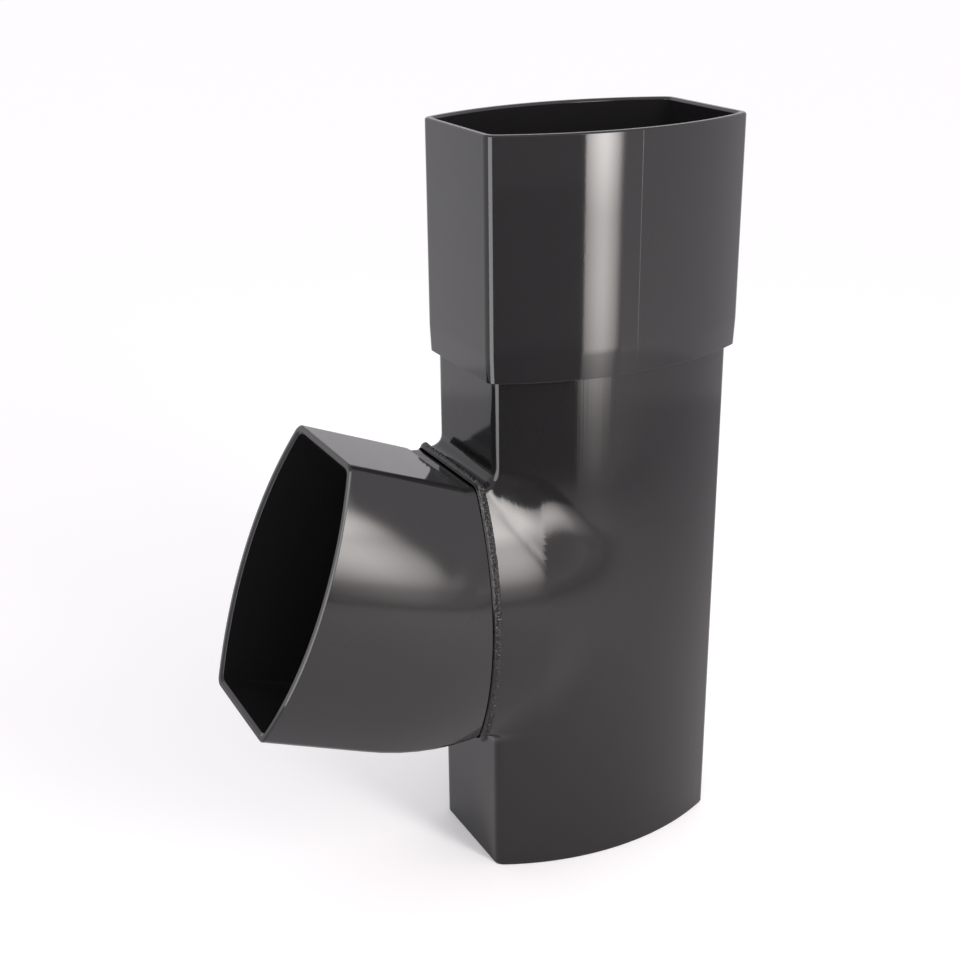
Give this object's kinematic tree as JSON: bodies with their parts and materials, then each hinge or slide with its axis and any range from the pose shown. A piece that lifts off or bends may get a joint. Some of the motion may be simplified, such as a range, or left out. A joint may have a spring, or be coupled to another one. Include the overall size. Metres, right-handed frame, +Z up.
{
  "type": "downpipe tee",
  "caption": "Branch fitting for a bowed rectangular rainwater downpipe: spigot below, socket above, and a branch socket rising from its narrow side.",
  "frame": {"origin": "centre of the spigot's lower end, on the pipe's axis", "axes": "+Z up along the pipe towards the upper socket, -X towards the branch, Y across the bowed faces"},
  "size_m": [0.1985, 0.0792, 0.291],
  "materials": {
    "pipe": "glossy extruded dark grey rigid PVC",
    "sleeve": "glossy moulded dark grey rigid PVC",
    "weld": "rough grainy weld of the same PVC"
  },
  "bodies": {
    "root": {"main_pipe": "pipe", "upper_socket": "sleeve", "branch_socket": "sleeve", "weld_bead": "weld"}
  },
  "joints": []
}
